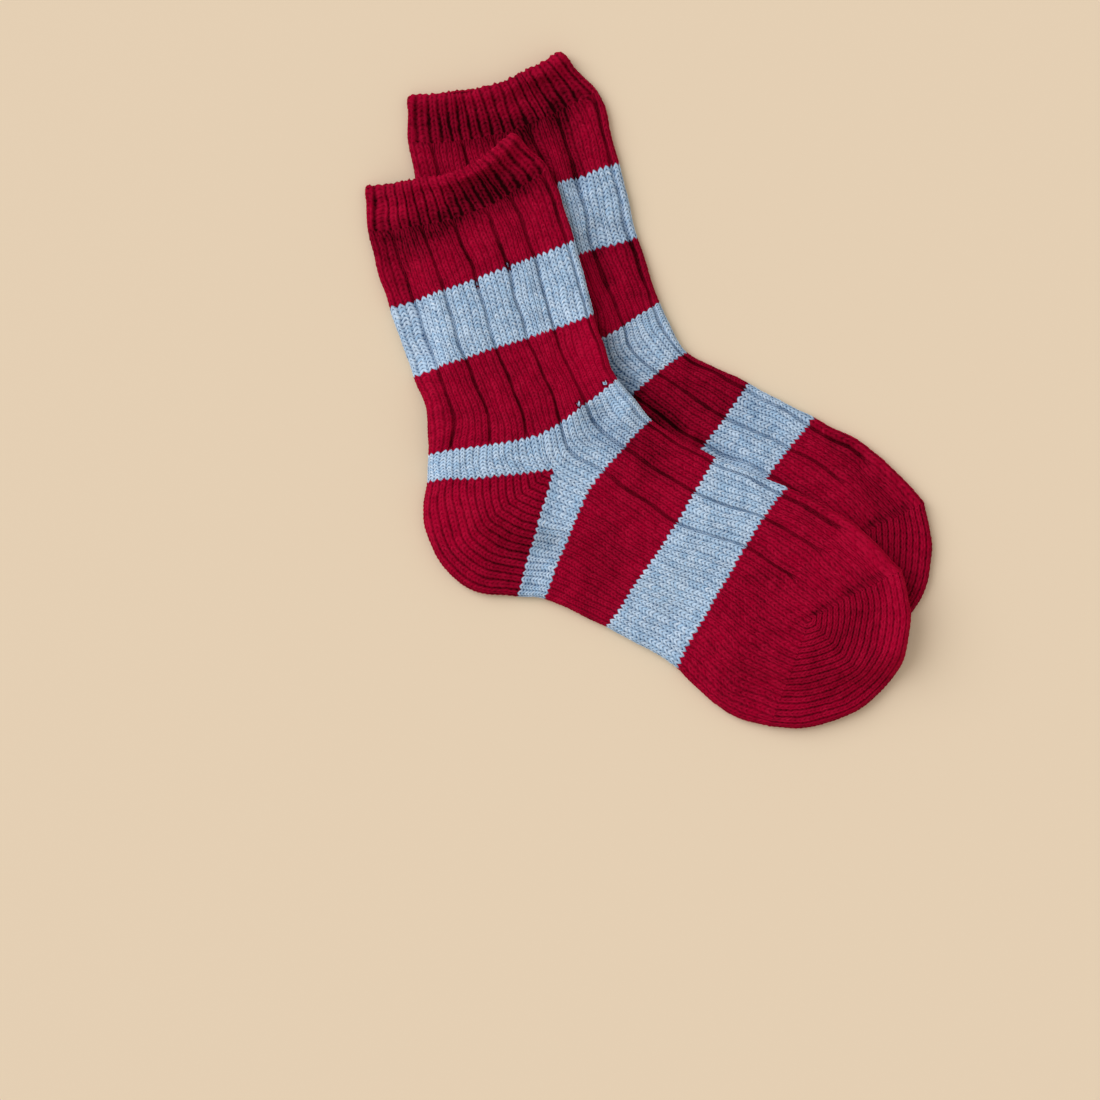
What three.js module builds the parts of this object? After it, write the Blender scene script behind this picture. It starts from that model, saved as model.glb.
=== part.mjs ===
// A pair of crew socks in chunky ribbed cotton knit, laid flat, one on the other.
// Millimetres, +Z up. The origin is on the floor under the middle of the pair,
// +X runs along the feet and +Y runs up the legs.
import * as THREE from "three";
import { mergeVertices } from "three/addons/utils/BufferGeometryUtils.js";

// Knit gauge. A sock has 72 wales (columns of stitches) round: 36 on the side that
// shows, counted from the front fold, and 36 under it.
const WALES_TO_MIDDLE = 18;
const WALE = 2.44;
const WELT_COURSE = 11;
const ANKLE_COURSE = 68;
const HEEL_COURSE = 77;
const TOE_COURSE = 146;
// Rows pass from the leg's back fold to the sole's round the heel, and straighten at the toe
const TURN_COURSES = 18;
const STRAIGHT_COURSES = 9;

// Cloth wall, and how the flattened tube turns over at its folds
const WALL = 2.0;
const FLAT_HEIGHT = 6.6;
const FOLD_HEIGHT = 2.6;
const FOLD_ROUND = 3.0;
const FOLD_WALES = 1.8;
const FOLD_DROP = 1.2;
const FOLD_REACH = 12;

// Ribs: one sunk purl wale after every five knit wales on leg and instep, and
// every second wale sunk in the welt, but for the one on the fold
const RIB_REPEAT = 6;
const FIRST_PURL = 2;
const PURL_DEPTH = 0.8;
const WELT_DEPTH = 0.5;
const INSTEP_RIB_END = 129;
const INSTEP_RIB_SLANT = 0.6;
const RIB_FADE = 1.5;

// Leg, a row for each place along it: the course, the front fold, the middle of the
// side and the back fold, from the heel corner, and the lower sock's shift of its front
const LEG = [
  { course: 0, front: [-17.2, 148.7], middle: [-48.8, 130.2], fold: [-82.7, 125.4], shift: [1.0, 0] },
  { course: 11, front: [-1.4, 131.9], middle: [-41.8, 110.4], fold: [-81.4, 105.4], shift: [2.9, 0] },
  { course: 26, front: [10.0, 101.0], middle: [-31.7, 84.5], fold: [-72.4, 71.7], shift: [2.4, 0] },
  { course: 44, front: [18.6, 68.4], middle: [-22.9, 54.1], fold: [-61.3, 41.8], shift: [3.2, 0] },
  { course: 56, front: [24.3, 50.5], middle: [-14.5, 34.8], fold: [-55.4, 24.6], shift: [4.8, 0] },
  { course: 68, front: [28.5, 40.4], middle: [-6.2, 15.4], fold: [-55.0, 7.0], shift: [4.2, 0] },
  { course: 77, front: [35.6, 31.7], middle: [0, 0], fold: [-55.0, -4.8], shift: [1.2, 0] },
];
// Foot, in the same way, where the second fold is the sole's
const FOOT = [
  { course: 77, front: [35.6, 31.7], middle: [0, 0], fold: [-15.8, -56.3], shift: [1.2, 0] },
  { course: 86, front: [43.6, 22.0], middle: [15.4, -8.4], fold: [-4.0, -57.0], shift: [1.9, -2.9] },
  { course: 107, front: [71.3, 6.3], middle: [48.4, -31.2], fold: [23.3, -69.5], shift: [1.9, 0.1] },
  { course: 125, front: [102.0, -7.0], middle: [78.3, -42.7], fold: [53.8, -86.8], shift: [0, -0.5] },
  { course: 137, front: [130.5, -21.8], middle: [97.2, -55.9], fold: [76.1, -106.9], shift: [0, 0] },
  { course: 146, front: [153.1, -43.6], middle: [112.2, -65.6], fold: [95.9, -113.5], shift: [0, 0] },
];
// Heel and toe pockets: the outline round each and where its suture meets it
const HEEL_OUTLINE = [
  [-55.0, -4.8], [-57.0, -15.6], [-55.2, -28.4], [-49.6, -41.2],
  [-41.8, -49.0], [-31.5, -54.4], [-15.8, -56.3],
];
const HEEL_SUTURE = 3;
const TOE_OUTLINE = [
  [95.9, -113.5], [111.6, -114.2], [123.4, -111.6], [134.9, -106.3], [144.0, -99.3],
  [151.0, -91.0], [155.2, -82.4], [157.4, -67.4], [156.2, -54.2], [153.1, -43.6],
];
const TOE_SUTURE = 4;

// Courses and wales where the solids have points. The side that shows has one for
// each wale, so that its ribs stand; the other layers are plain.
const LEG_STATIONS = [0, 5, 10, 12, 17, 22, 26, 31, 36, 41, 46, 51, 56, 61, 66, 71, 77];
const FOOT_STATIONS = [77, 82, 88, 94, 101, 108, 115, 122, 128, 133, 137, 141, 146];
const HEEL_STEPS = 10;
const TOE_STEPS = 12;
const PLAIN_WALES = [0, 0.6, 1.2, 1.8, 5, 10, 18];
const RIBBED_WALES = Array.from({ length: WALES_TO_MIDDLE + 1 }, (_, wale) => wale);

// The two socks: where the heel corner lies, the turn seen from above, the extra
// height of the heel and toe pockets, how far the cuff stands open and up, whether
// the front fold has its shift, how far the rim sags and at which wale
const LOWER = {
  name: "sock_lower", corner: [-27.2, 0], turn: -2.46, heel: 0.6, toe: 1.8, gape: 2.6, cuff: 0, shift: 1,
  sag: -2.2, sagWale: 26,
};
const UPPER = {
  name: "sock_upper", corner: [-40.3, -35.2], turn: 0, heel: 3.0, toe: 3.0, gape: 2.6, cuff: 3.0, shift: 0,
  sag: 4.2, sagWale: 11,
};
const HEEL_CROWN = { at: [-34, -25], reach: 23 };
const TOE_CROWN = { at: [110, -74], reach: 29 };
const GAPE_COURSES = 10;
const CUFF_COURSES = 22;
const CUFF_MIDDLE_WALE = 9;
const CUFF_REACH_WALES = 14;
const SAG_WALES = 8;
const SAG_COURSES = 18;

// How the upper sock climbs over the lower one
const CLEARANCE = 0.55;
const DRAPE_START = 4;
const DRAPE_END = 19;

// Its front fold stands up a little, between the cuff and the instep
const PERCH = 2.2;
const PERCH_WALES = 9;
const PERCH_FROM = [10, 25];
const PERCH_UNTIL = [84, 102];

const CRIMSON = 0x9a0a30;

// Points closer than this are one point
const SAME_POINT = 1e-3;

const add = (a, b, k = 1) => [a[0] + b[0] * k, a[1] + b[1] * k];
const mix = (a, b, t) => [a[0] + (b[0] - a[0]) * t, a[1] + (b[1] - a[1]) * t];
const smooth = (from, to, value) => THREE.MathUtils.smoothstep(value, from, to);

// A smooth path through one column of a table, at any course
function along(rows, column, course) {
  const last = rows.length - 1;
  let i = 0;
  while (i < last - 1 && course > rows[i + 1].course) i += 1;
  const slope = (k) => {
    const before = rows[Math.max(k - 1, 0)];
    const after = rows[Math.min(k + 1, last)];
    const step = add(after[column], before[column], -1);
    return step.map((d) => d / (after.course - before.course));
  };
  const span = rows[i + 1].course - rows[i].course;
  const t = (course - rows[i].course) / span;
  const hermite = (axis) =>
    (2 * t ** 3 - 3 * t ** 2 + 1) * rows[i][column][axis] +
    (t ** 3 - 2 * t ** 2 + t) * span * slope(i)[axis] +
    (3 * t ** 2 - 2 * t ** 3) * rows[i + 1][column][axis] +
    (t ** 3 - t ** 2) * span * slope(i + 1)[axis];
  return [hermite(0), hermite(1)];
}

const frontRows = [...LEG, ...FOOT.slice(1)];

// The bend across a row of stitches, from how its two folds and its middle lie
function bend(course) {
  const legFold = along(LEG, "fold", Math.min(course, HEEL_COURSE));
  const footFold = along(FOOT, "fold", Math.max(course, HEEL_COURSE));
  const fold = mix(legFold, footFold, smooth(HEEL_COURSE - TURN_COURSES, HEEL_COURSE + TURN_COURSES, course));
  const front = along(frontRows, "front", course);
  const middle = along(frontRows, "middle", course);
  const fade = (1 - smooth(TOE_COURSE - STRAIGHT_COURSES, TOE_COURSE, course)) / 8;
  return [0, 1].map((axis) => (2 * middle[axis] - front[axis] - fold[axis]) * fade);
}

// Half a row of stitches, from one fold to the middle of the side
function frontHalf(course) {
  const edge = along(frontRows, "front", course);
  const middle = along(frontRows, "middle", course);
  const shift = along(frontRows, "shift", course);
  return { course, front: true, edge, middle, shift, bow: bend(course) };
}

function backHalf(course, rows) {
  const edge = along(rows, "fold", course);
  const middle = along(frontRows, "middle", course);
  const fade = smooth(0, TURN_COURSES, Math.abs(course - HEEL_COURSE));
  const bow = bend(course).map((d) => d * fade);
  return { course, front: false, edge, middle, bow };
}

// A ray of a heel or toe pocket, from its outline to its corner. Wales near the
// corner turn sharply at the suture, and the outer ones follow the round outline.
function pocketRays(corner, outline, suture, steps) {
  const curve = new THREE.CatmullRomCurve3(
    outline.map(([x, y]) => new THREE.Vector3(x, y, 0)),
  );
  const knot = suture / (outline.length - 1);
  return Array.from({ length: steps + 1 }, (_, k) => {
    const share = k / steps;
    const onCurve = share < 0.5 ? share * 2 * knot : knot + (share * 2 - 1) * (1 - knot);
    const point = curve.getPoint(onCurve);
    const last = outline[outline.length - 1];
    const sharp =
      share < 0.5
        ? mix(outline[0], outline[suture], share * 2)
        : mix(outline[suture], last, share * 2 - 1);
    const edge = [point.x, point.y];
    return { pocket: true, edge, middle: corner, sharp };
  });
}

const halves = {
  front: [...LEG_STATIONS, ...FOOT_STATIONS.slice(1)].map(frontHalf),
  back: LEG_STATIONS.map((course) => backHalf(course, LEG)),
  sole: FOOT_STATIONS.map((course) => backHalf(course, FOOT)),
  heel: pocketRays(LEG[LEG.length - 1].middle, HEEL_OUTLINE, HEEL_SUTURE, HEEL_STEPS),
  toe: pocketRays(FOOT[FOOT.length - 1].middle, TOE_OUTLINE, TOE_SUTURE, TOE_STEPS),
};

// How deep a wale is sunk below the outer face at a course
function ribSink(half, wale) {
  if (half.pocket) return 0;
  if (half.course < WELT_COURSE) return wale > 0 && wale % 2 === 0 ? WELT_DEPTH : 0;
  const fromFront = half.front ? wale : 2 * WALES_TO_MIDDLE - wale;
  if (fromFront % RIB_REPEAT !== FIRST_PURL) return 0;
  if (!half.front && half.course > HEEL_COURSE) return 0;
  const end = half.front ? INSTEP_RIB_END + INSTEP_RIB_SLANT * wale : ANKLE_COURSE;
  return PURL_DEPTH * (1 - smooth(end - RIB_FADE, end + RIB_FADE, half.course));
}

// A half's own fold, with the lower sock's shift of its front
const foldAt = (sock, half) => (half.front ? add(half.edge, half.shift, sock.shift) : half.edge);

// Plan position at a wale counted from the half's own fold, sunk into the wall
function planPoint(sock, half, wale, sink) {
  const angle = Math.min(wale / FOLD_WALES, 1) * (Math.PI / 2);
  const flat = Math.max(wale - FOLD_WALES, 0) * WALE;
  const inset = FOLD_ROUND * (1 - Math.cos(angle)) + flat + sink * Math.cos(angle);
  const whole = FOLD_ROUND + (WALES_TO_MIDDLE - FOLD_WALES) * WALE;
  const f = inset / whole;
  if (half.pocket) {
    const reach = mix(half.edge, half.sharp, f);
    return mix(reach, half.middle, f);
  }
  const level = add(mix(foldAt(sock, half), half.middle, f), half.bow, 4 * f * (1 - f));
  return add(level, [0, -1], sagAt(sock, half, wale));
}

// How far the rim of the cuff sags here
function sagAt(sock, half, wale) {
  if (half.course > SAG_COURSES) return 0;
  const fromFront = half.front ? wale : 2 * WALES_TO_MIDDLE - wale;
  const bell = Math.exp(-(((fromFront - sock.sagWale) / SAG_WALES) ** 2));
  return sock.sag * bell * (1 - half.course / SAG_COURSES) ** 2;
}

const crown = (at, reach, [x, y]) =>
  Math.exp(-((x - at[0]) ** 2 + (y - at[1]) ** 2) / (reach * reach));

// Height of a sock away from its folds, with the crowns of its pockets
function pocketHeight(sock, plan) {
  const heel = sock.heel * crown(HEEL_CROWN.at, HEEL_CROWN.reach, plan);
  return FLAT_HEIGHT + heel + sock.toe * crown(TOE_CROWN.at, TOE_CROWN.reach, plan);
}

// Height of the top face over the underside, lower by the folds and higher at the cuff
function topHeight(sock, half, wale, plan) {
  const height = pocketHeight(sock, plan) - FOLD_DROP * (1 - smooth(0, FOLD_REACH, wale));
  if (half.pocket || half.course > GAPE_COURSES) return height;
  return height + sock.gape * cuffShare(half, wale) * (1 - half.course / GAPE_COURSES) ** 2;
}

// 1 at the middle of the raised part of the cuff, falling to 0 round it
function cuffShare(half, wale) {
  const fromFront = half.front ? wale : 2 * WALES_TO_MIDDLE - wale;
  const away = Math.abs(fromFront - CUFF_MIDDLE_WALE) / CUFF_REACH_WALES;
  return 1 - smooth(0, 1, away);
}

// From the pattern's own axes to the pair's
function place(sock, [x, y]) {
  const angle = THREE.MathUtils.degToRad(sock.turn);
  return [
    sock.corner[0] + x * Math.cos(angle) - y * Math.sin(angle),
    sock.corner[1] + x * Math.sin(angle) + y * Math.cos(angle),
  ];
}

function unplace(sock, [x, y]) {
  const angle = THREE.MathUtils.degToRad(-sock.turn);
  const [dx, dy] = [x - sock.corner[0], y - sock.corner[1]];
  return [dx * Math.cos(angle) - dy * Math.sin(angle), dx * Math.sin(angle) + dy * Math.cos(angle)];
}

// The lower sock's outline on the floor: front fold, toe, sole, heel, back fold
const outline = [
  ...halves.front.map((half) => foldAt(LOWER, half)),
  ...halves.toe.map((half) => half.edge).reverse(),
  ...halves.sole.map((half) => half.edge).reverse(),
  ...halves.heel.map((half) => half.edge).reverse(),
  ...halves.back.map((half) => half.edge).reverse(),
];

// Distance outside the outline, negative inside it
function outside([x, y]) {
  let nearest = Infinity;
  let inside = false;
  outline.forEach(([ax, ay], i) => {
    const [bx, by] = outline[(i + 1) % outline.length];
    const long = (bx - ax) ** 2 + (by - ay) ** 2;
    if (long === 0) return;
    const share = ((x - ax) * (bx - ax) + (y - ay) * (by - ay)) / long;
    const t = THREE.MathUtils.clamp(share, 0, 1);
    nearest = Math.min(nearest, Math.hypot(x - ax - t * (bx - ax), y - ay - t * (by - ay)));
    if (ay > y !== by > y && x < ax + ((bx - ax) * (y - ay)) / (by - ay)) inside = !inside;
  });
  return inside ? -nearest : nearest;
}

// How far a point of the upper sock is held up, by the lower sock and at the cuff
function liftAt(sock, half, wale) {
  if (sock === LOWER) return 0;
  const plan = planPoint(sock, half, wale, 0);
  const under = unplace(LOWER, place(sock, plan));
  const share = 1 - smooth(DRAPE_START, DRAPE_END, outside(under));
  const support = pocketHeight(LOWER, under) + CLEARANCE;
  const cuff =
    half.course < CUFF_COURSES
      ? sock.cuff * cuffShare(half, wale) * (1 - half.course / CUFF_COURSES) ** 2
      : 0;
  return share * (support + cuff + perch(half, wale));
}

// How far the upper sock's front fold stands up here
function perch(half, wale) {
  if (!half.front) return 0;
  const share = smooth(...PERCH_FROM, half.course) * (1 - smooth(...PERCH_UNTIL, half.course));
  return PERCH * share * (1 - smooth(0, PERCH_WALES, wale));
}

// The lift between the plain layers' points, so that every layer rises alike
function lift(sock, half, wale) {
  const i = Math.max(1, PLAIN_WALES.findIndex((plain) => plain >= wale));
  const [low, high] = [PLAIN_WALES[i - 1], PLAIN_WALES[i]];
  const t = (wale - low) / (high - low);
  return liftAt(sock, half, low) * (1 - t) + liftAt(sock, half, high) * t;
}

// A point of the wall. side is 1 for the layer on top and -1 for the one beneath.
function wallPoint(sock, half, wale, side, sink) {
  const angle = Math.min(wale / FOLD_WALES, 1) * (Math.PI / 2);
  const plan = planPoint(sock, half, wale, sink);
  const top = topHeight(sock, half, wale, planPoint(sock, half, wale, 0));
  const reach = side > 0 ? top - FOLD_HEIGHT : FOLD_HEIGHT;
  const z = FOLD_HEIGHT + side * (reach - sink) * Math.sin(angle) + lift(sock, half, wale);
  return [...place(sock, plan), z];
}

// Triangles between two chains of points that start and end alike
function zip(triangles, first, second, flip) {
  let [i, j] = [0, 0];
  while (i < first.length - 1 || j < second.length - 1) {
    const stepFirst =
      j === second.length - 1 ||
      (i < first.length - 1 && first[i + 1].wale <= second[j + 1].wale);
    const next = stepFirst ? first[i + 1] : second[j + 1];
    const face = [first[i], second[j], next].map(({ point }) => point);
    triangles.push(flip ? face.reverse() : face);
    if (stepFirst) i += 1;
    else j += 1;
  }
}

// One face of the wall, row by row, for the layer on top or beneath
function addFace(triangles, sock, side, inner) {
  const chain = (half, wales) =>
    wales.map((wale) => {
      const sink = inner ? WALL : side > 0 ? ribSink(half, wale) : 0;
      return { wale, point: wallPoint(sock, half, wale, side, sink) };
    });
  const ribbed = side > 0 && !inner;
  const walesOf = (name, row, rows) => {
    const lastRow = row === rows - 1;
    if (!ribbed || name === "heel" || name === "toe" || name === "sole") return PLAIN_WALES;
    return lastRow ? PLAIN_WALES : RIBBED_WALES;
  };
  Object.entries(halves).forEach(([name, rows]) => {
    const chains = rows.map((half, row) => chain(half, walesOf(name, row, rows.length)));
    const outward = (side > 0) !== inner;
    const flip = (name === "front") === outward;
    for (let row = 1; row < rows.length; row += 1)
      zip(triangles, chains[row - 1], chains[row], flip);
  });
}

// The rim of the cuff, from the outer face to the inner one
function addRim(triangles, sock, side) {
  for (const half of [halves.front[0], halves.back[0]]) {
    const outerWales = side > 0 ? RIBBED_WALES : PLAIN_WALES;
    const outer = outerWales.map((wale) => {
      const sink = side > 0 ? ribSink(half, wale) : 0;
      return { wale, point: wallPoint(sock, half, wale, side, sink) };
    });
    const inner = PLAIN_WALES.map((wale) => ({
      wale,
      point: wallPoint(sock, half, wale, side, WALL),
    }));
    zip(triangles, inner, outer, half.front === side > 0);
  }
}

// A sock: outer and inner faces of both layers, closed at the toe, open at the cuff
function sockGeometry(sock) {
  const triangles = [];
  for (const side of [1, -1]) {
    addFace(triangles, sock, side, false);
    addFace(triangles, sock, side, true);
    addRim(triangles, sock, side);
  }
  const geometry = new THREE.BufferGeometry();
  geometry.setAttribute("position", new THREE.Float32BufferAttribute(triangles.flat(2), 3));
  const merged = mergeVertices(geometry, SAME_POINT);
  merged.computeVertexNormals();
  return merged;
}

const knit = () => new THREE.MeshStandardMaterial({ color: CRIMSON, roughness: 0.95, metalness: 0 });

const group = new THREE.Group();
for (const sock of [LOWER, UPPER]) {
  const mesh = new THREE.Mesh(sockGeometry(sock), knit());
  mesh.name = sock.name;
  group.add(mesh);
}

// The pair's middle goes over the origin
const box = new THREE.Box3().setFromObject(group);
const centre = box.getCenter(new THREE.Vector3());
for (const mesh of group.children) mesh.geometry.translate(-centre.x, -centre.y, 0);

export default group;
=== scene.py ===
import math

import bpy
import numpy as np
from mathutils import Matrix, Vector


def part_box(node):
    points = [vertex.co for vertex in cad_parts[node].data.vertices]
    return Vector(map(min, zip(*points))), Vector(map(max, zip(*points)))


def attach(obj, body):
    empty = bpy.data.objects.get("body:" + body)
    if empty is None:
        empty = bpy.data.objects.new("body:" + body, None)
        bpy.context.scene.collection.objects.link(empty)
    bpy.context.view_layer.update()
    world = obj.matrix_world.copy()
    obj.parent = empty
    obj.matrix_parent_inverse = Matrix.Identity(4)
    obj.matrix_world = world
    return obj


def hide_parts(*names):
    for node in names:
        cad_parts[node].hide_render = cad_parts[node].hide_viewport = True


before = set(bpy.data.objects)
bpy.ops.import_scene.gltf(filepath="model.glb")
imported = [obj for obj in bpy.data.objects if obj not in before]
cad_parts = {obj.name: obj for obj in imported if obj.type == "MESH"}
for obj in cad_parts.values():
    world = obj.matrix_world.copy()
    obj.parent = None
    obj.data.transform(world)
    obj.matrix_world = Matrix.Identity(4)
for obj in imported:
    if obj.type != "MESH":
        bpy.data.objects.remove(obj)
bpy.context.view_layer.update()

MM = 0.001


# Welt: the top of each sock, 20 mm of 1x1 rib in crimson cotton, where the knitting
# starts. Its rim rolls softly over, and the cloth goes on down inside. The tables and
# functions below give the whole tube, because it is knitted in one go from here.

# wales are the stitch columns, counted from the front fold round the side that shows and back
# underneath, and courses are the rows, counted down from the rim
WALES_ROUND = 72
WALES_SHOWN = 36
WALES_TO_MIDDLE = 18
WALE = 2.44
WELT_COURSE = 11
HEEL_COURSE = 77
TOE_COURSE = 146

# the flattened tube in mm: its height, the height and roundness of its folds, and how far
# it slopes down to them
FLAT_HEIGHT = 6.6
FOLD_HEIGHT = 2.6
FOLD_ROUND = 3.0
FOLD_WALES = 1.8
FOLD_DROP = 1.2
FOLD_REACH = 12

# millimetres from the corner of the ankle, at the front fold, the middle of the side and the
# back fold, and how far the lower sock's front fold lies from there
LEG = [
    {"course": 0, "front": (-17.2, 148.7), "middle": (-48.8, 130.2), "fold": (-82.7, 125.4),
     "shift": (1.0, 0)},
    {"course": 11, "front": (-1.4, 131.9), "middle": (-41.8, 110.4), "fold": (-81.4, 105.4),
     "shift": (2.9, 0)},
    {"course": 26, "front": (10.0, 101.0), "middle": (-31.7, 84.5), "fold": (-72.4, 71.7),
     "shift": (2.4, 0)},
    {"course": 44, "front": (18.6, 68.4), "middle": (-22.9, 54.1), "fold": (-61.3, 41.8),
     "shift": (3.2, 0)},
    {"course": 56, "front": (24.3, 50.5), "middle": (-14.5, 34.8), "fold": (-55.4, 24.6),
     "shift": (4.8, 0)},
    {"course": 68, "front": (28.5, 40.4), "middle": (-6.2, 15.4), "fold": (-55.0, 7.0),
     "shift": (4.2, 0)},
    {"course": 77, "front": (35.6, 31.7), "middle": (0, 0), "fold": (-55.0, -4.8),
     "shift": (1.2, 0)},
]
# the same for the foot, where the second fold is the sole's
FOOT = [
    {"course": 77, "front": (35.6, 31.7), "middle": (0, 0), "fold": (-15.8, -56.3),
     "shift": (1.2, 0)},
    {"course": 86, "front": (43.6, 22.0), "middle": (15.4, -8.4), "fold": (-4.0, -57.0),
     "shift": (1.9, -2.9)},
    {"course": 107, "front": (71.3, 6.3), "middle": (48.4, -31.2), "fold": (23.3, -69.5),
     "shift": (1.9, 0.1)},
    {"course": 125, "front": (102.0, -7.0), "middle": (78.3, -42.7), "fold": (53.8, -86.8),
     "shift": (0, -0.5)},
    {"course": 137, "front": (130.5, -21.8), "middle": (97.2, -55.9), "fold": (76.1, -106.9),
     "shift": (0, 0)},
    {"course": 146, "front": (153.1, -43.6), "middle": (112.2, -65.6), "fold": (95.9, -113.5),
     "shift": (0, 0)},
]
FRONT = LEG + FOOT[1:]
# and the outlines of the heel and toe pockets, from one fold round to the other
HEEL_OUTLINE = [
    (-55.0, -4.8), (-57.0, -15.6), (-55.2, -28.4), (-49.6, -41.2),
    (-41.8, -49.0), (-31.5, -54.4), (-15.8, -56.3),
]
TOE_OUTLINE = [
    (95.9, -113.5), (111.6, -114.2), (123.4, -111.6), (134.9, -106.3), (144.0, -99.3),
    (151.0, -91.0), (155.2, -82.4), (157.4, -67.4), (156.2, -54.2), (153.1, -43.6),
]

# how each sock lies: its turn in degrees, how high its heel and toe swell, how far the cuff
# gapes and rises in mm, whether its front fold is shifted, how far the rim sags and at which
# wale, how many courses lower its welt ends at the back, the seed of its unevenness and what
# it lies on
SOCKS = [
    {"name": "lower", "turn": -2.46, "heel": 0.6, "toe": 1.8, "gape": 2.6, "cuff": 0.0,
     "shift": 1, "sag": -2.2, "sag_wale": 26, "low": -1.0, "seed": 5,
     "lies_on": []},
    {"name": "upper", "turn": 0.0, "heel": 3.0, "toe": 3.0, "gape": 2.6, "cuff": 3.0,
     "shift": 0, "sag": 4.2, "sag_wale": 11, "low": 2.5, "seed": 8,
     "lies_on": ["sock_lower"]},
]
LOWER, UPPER = SOCKS
# where heel and toe swell most and how far round in mm. Then, in courses and wales, how far
# down the cuff gapes and rises, where round it and how widely it rises, how wide and deep the
# rim sags, and how far the rows turn at the ankle and lose their bow before the toe
HEEL_CROWN = {"at": (-34, -25), "reach": 23}
TOE_CROWN = {"at": (110, -74), "reach": 29}
GAPE_COURSES = 10
CUFF_COURSES = 22
CUFF_MIDDLE_WALE = 9
CUFF_REACH_WALES = 14
SAG_WALES = 8
SAG_COURSES = 18
BEND_COURSES = 18
BOW_FADE_COURSES = 9


def smooth(start, end, value):
    t = np.clip((np.asarray(value, float) - start) / (end - start), 0, 1)
    return t * t * (3 - 2 * t)


def along(rows, column, course):
    """A smooth path through one column of a table, at any courses."""
    knots = np.array([row["course"] for row in rows], float)
    points = np.array([row[column] for row in rows], float)
    before = np.maximum(np.arange(len(rows)) - 1, 0)
    after = np.minimum(np.arange(len(rows)) + 1, len(rows) - 1)
    slopes = (points[after] - points[before]) / (knots[after] - knots[before])[:, None]
    course = np.asarray(course, float)
    i = np.clip(np.searchsorted(knots, course) - 1, 0, len(rows) - 2)
    span = (knots[i + 1] - knots[i])[..., None]
    t = (course - knots[i])[..., None] / span
    start = (2 * t**3 - 3 * t**2 + 1) * points[i] + (t**3 - 2 * t**2 + t) * span * slopes[i]
    end = (3 * t**2 - 2 * t**3) * points[i + 1] + (t**3 - t**2) * span * slopes[i + 1]
    return start + end


def bend(course):
    """How far a row of stitches bows, from where its folds and its middle lie."""
    leg_fold = along(LEG, "fold", np.minimum(course, HEEL_COURSE))
    foot_fold = along(FOOT, "fold", np.maximum(course, HEEL_COURSE))
    share = smooth(HEEL_COURSE - BEND_COURSES, HEEL_COURSE + BEND_COURSES, course)[..., None]
    fold = leg_fold * (1 - share) + foot_fold * share
    fade = (1 - smooth(TOE_COURSE - BOW_FADE_COURSES, TOE_COURSE, course))[..., None]
    return (2 * along(FRONT, "middle", course) - along(FRONT, "front", course) - fold) * fade / 8


def inset_share(wale):
    """How far in from its fold a wale lies, as a share of the way to the middle."""
    angle = np.minimum(wale / FOLD_WALES, 1) * math.pi / 2
    inset = FOLD_ROUND * (1 - np.cos(angle)) + np.maximum(wale - FOLD_WALES, 0) * WALE
    return inset / (FOLD_ROUND + (WALES_TO_MIDDLE - FOLD_WALES) * WALE)


def front_fold(sock, course):
    return along(FRONT, "front", course) + along(FRONT, "shift", course) * sock["shift"]


def tube_plan(sock, rows, across, course):
    """Plan position on one side of a tube, across being wales from the front fold."""
    in_front = (across <= WALES_TO_MIDDLE)[..., None]
    from_fold = np.where(across <= WALES_TO_MIDDLE, across, WALES_SHOWN - across)
    share = inset_share(from_fold)[..., None]
    edge = np.where(in_front, front_fold(sock, course), along(rows, "fold", course))
    fade = smooth(0, BEND_COURSES, np.abs(course - HEEL_COURSE))[..., None]
    bow = bend(course) * np.where(in_front, 1, fade)
    middle = along(FRONT, "middle", course)
    sag = sock["sag"] * np.exp(-(((across - sock["sag_wale"]) / SAG_WALES) ** 2))
    sag = sag * np.clip(1 - course / SAG_COURSES, 0, 1) ** 2
    down = np.stack([0 * sag, -sag], -1)
    return edge + (middle - edge) * share + bow * 4 * share * (1 - share) + down


def outline_points(sock):
    """The outline of a sock on the floor: front fold, toe, sole, heel, back fold."""
    leg = np.linspace(0, HEEL_COURSE, 30)
    foot = np.linspace(HEEL_COURSE, TOE_COURSE, 24)
    whole = np.concatenate([leg, foot[1:]])
    return np.concatenate([
        front_fold(sock, whole),
        np.array(TOE_OUTLINE)[::-1],
        along(FOOT, "fold", foot)[::-1],
        np.array(HEEL_OUTLINE)[::-1],
        along(LEG, "fold", leg)[::-1],
    ])


def turned(sock, points):
    angle = math.radians(sock["turn"])
    turn = np.array([[math.cos(angle), math.sin(angle)], [-math.sin(angle), math.cos(angle)]])
    return points @ turn


# the corner of each sock's ankle goes where its solid has it, found from the outline's box
for sock in SOCKS:
    low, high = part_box("sock_" + sock["name"])
    flat = turned(sock, outline_points(sock))
    middle = (flat.min(0) + flat.max(0)) / 2
    sock["corner"] = np.array([(low[0] + high[0]) / 2, (low[1] + high[1]) / 2]) / MM - middle


def crown(spot, plan):
    away = ((plan - np.array(spot["at"])) ** 2).sum(-1)
    return np.exp(-away / spot["reach"] ** 2)


def pocket_height(sock, plan):
    heel = sock["heel"] * crown(HEEL_CROWN, plan)
    return FLAT_HEIGHT + heel + sock["toe"] * crown(TOE_CROWN, plan)


def cuff_share(across):
    """1 at the middle of the raised part of the cuff, falling to 0 round it."""
    away = np.abs(across - CUFF_MIDDLE_WALE) / CUFF_REACH_WALES
    return 1 - smooth(0, 1, away)


# how many points are measured in one go, which keeps the memory small
POINTS_AT_ONCE = 20000


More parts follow.
